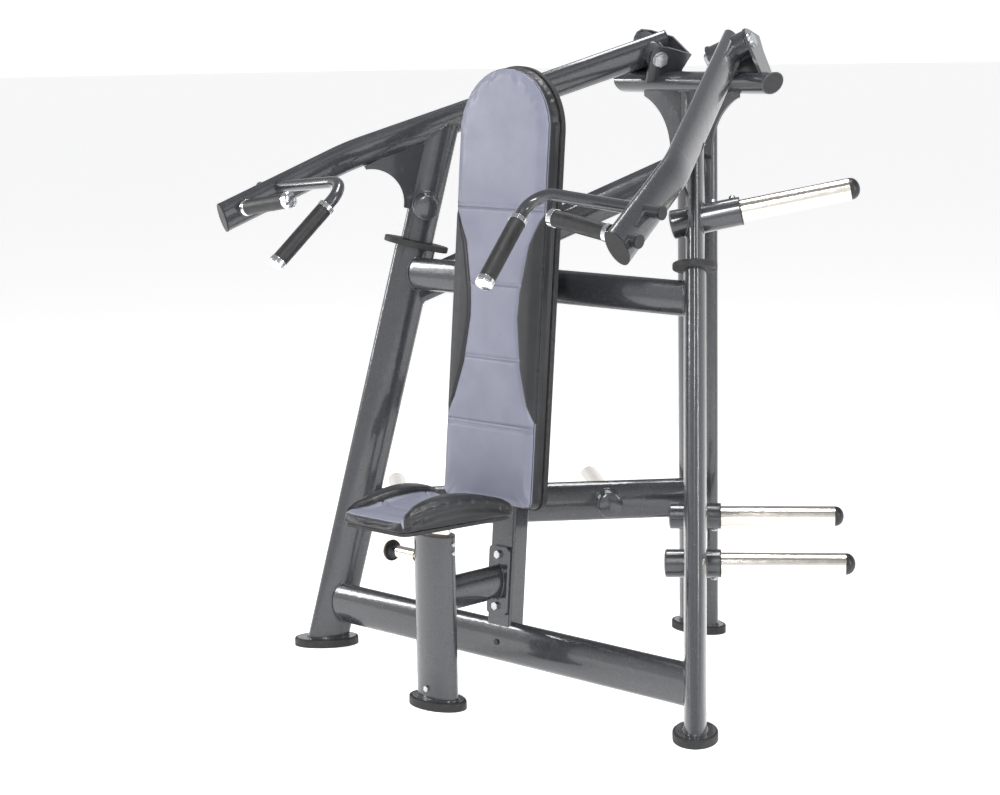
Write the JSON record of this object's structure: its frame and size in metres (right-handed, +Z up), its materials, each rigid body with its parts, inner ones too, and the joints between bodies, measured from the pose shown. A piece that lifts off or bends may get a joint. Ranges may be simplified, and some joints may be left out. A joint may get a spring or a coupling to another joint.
{
  "type": "plate loaded shoulder press machine",
  "caption": "Plate-loaded shoulder press machine with independent overhead press arms, an upright padded bench and weight storage horns.",
  "frame": {"origin": "on the floor, under the middle of the machine's outer box", "axes": "+Z up, -Y the way the seated user faces, +X the user's left"},
  "size_m": [1.5186, 1.1922, 1.5226],
  "materials": {
    "frame_paint": "gloss metallic charcoal",
    "black_plastic": "satin",
    "black_rubber": "satin moulded",
    "zinc_steel": "zinc plated",
    "bright_steel": "turned and polished",
    "grip_rubber": "matte",
    "polished_aluminium": "polished",
    "bronze": "sintered",
    "pad_board": "moulded",
    "leatherette": "stitched leatherette",
    "yellow_plastic": "gloss"
  },
  "bodies": {
    "frame": {"left_upright": "frame_paint", "right_upright": "frame_paint", "pivot_brackets": "frame_paint", "upper_braces": "frame_paint", "lower_braces": "frame_paint", "rear_post": "frame_paint", "top_cross_tube": "frame_paint", "top_tube_caps": "black_plastic", "rear_gussets": "frame_paint", "pivot_bolts": "zinc_steel", "front_cross_tube": "frame_paint", "middle_cross_tube": "frame_paint", "centre_post": "frame_paint", "plastic_plugs": "black_plastic", "stop_pads": "black_rubber", "foot_plates": "frame_paint", "foot_boots": "black_rubber", "seat_post": "frame_paint", "seat_post_sleeve": "black_plastic", "seat_link": "frame_paint", "frame_bolts": "zinc_steel", "back_board": "pad_board", "back_pad": "leatherette", "pad_straps": "frame_paint", "pin_housing": "bright_steel", "pin_spring": "zinc_steel", "storage_sockets": "frame_paint", "storage_horns": "bright_steel", "storage_horn_caps": "black_plastic"},
    "left_arm": {"left_arm_tube": "frame_paint", "left_arm_caps": "black_plastic", "left_pivot_barrel": "frame_paint", "left_pivot_bushes": "bronze", "left_arm_leg": "frame_paint", "left_arm_gusset": "frame_paint", "left_horn_socket": "frame_paint", "left_weight_horn": "bright_steel", "left_straight_handle": "frame_paint", "left_bent_handle": "frame_paint", "left_grip_sleeves": "grip_rubber", "left_grip_trim": "polished_aluminium"},
    "right_arm": {"right_arm_tube": "frame_paint", "right_arm_caps": "black_plastic", "right_pivot_barrel": "frame_paint", "right_pivot_bushes": "bronze", "right_arm_leg": "frame_paint", "right_arm_gusset": "frame_paint", "right_horn_socket": "frame_paint", "right_weight_horn": "bright_steel", "right_straight_handle": "frame_paint", "right_bent_handle": "frame_paint", "right_grip_sleeves": "grip_rubber", "right_grip_trim": "polished_aluminium"},
    "seat": {"seat_tube": "bright_steel", "seat_plate": "bright_steel", "seat_board": "pad_board", "seat_cushion": "leatherette"},
    "pull_pin": {"pin_plunger": "bright_steel", "pull_knob": "black_plastic", "knob_button": "yellow_plastic"}
  },
  "joints": [
    {"name": "left_arm_pivot", "type": "hinge", "parent": "frame", "child": "left_arm", "pos_m": [0.1287, 0.4987, 1.4709], "axis": [-0.8428, -0.3543, -0.4051], "range_deg": [0, 35]},
    {"name": "right_arm_pivot", "type": "hinge", "parent": "frame", "child": "right_arm", "pos_m": [-0.1287, 0.4987, 1.4709], "axis": [-0.8428, 0.3543, 0.4051], "range_deg": [0, 35]},
    {"name": "seat_height", "type": "slide", "parent": "frame", "child": "seat", "axis": [0, 0, 1], "range_m": [0, 0.15]},
    {"name": "seat_pull_pin", "type": "slide", "parent": "frame", "child": "pull_pin", "axis": [-1, 0, 0], "range_m": [0, 0.012], "stiffness_N_per_m": 600, "springref_m": -0.006}
  ]
}
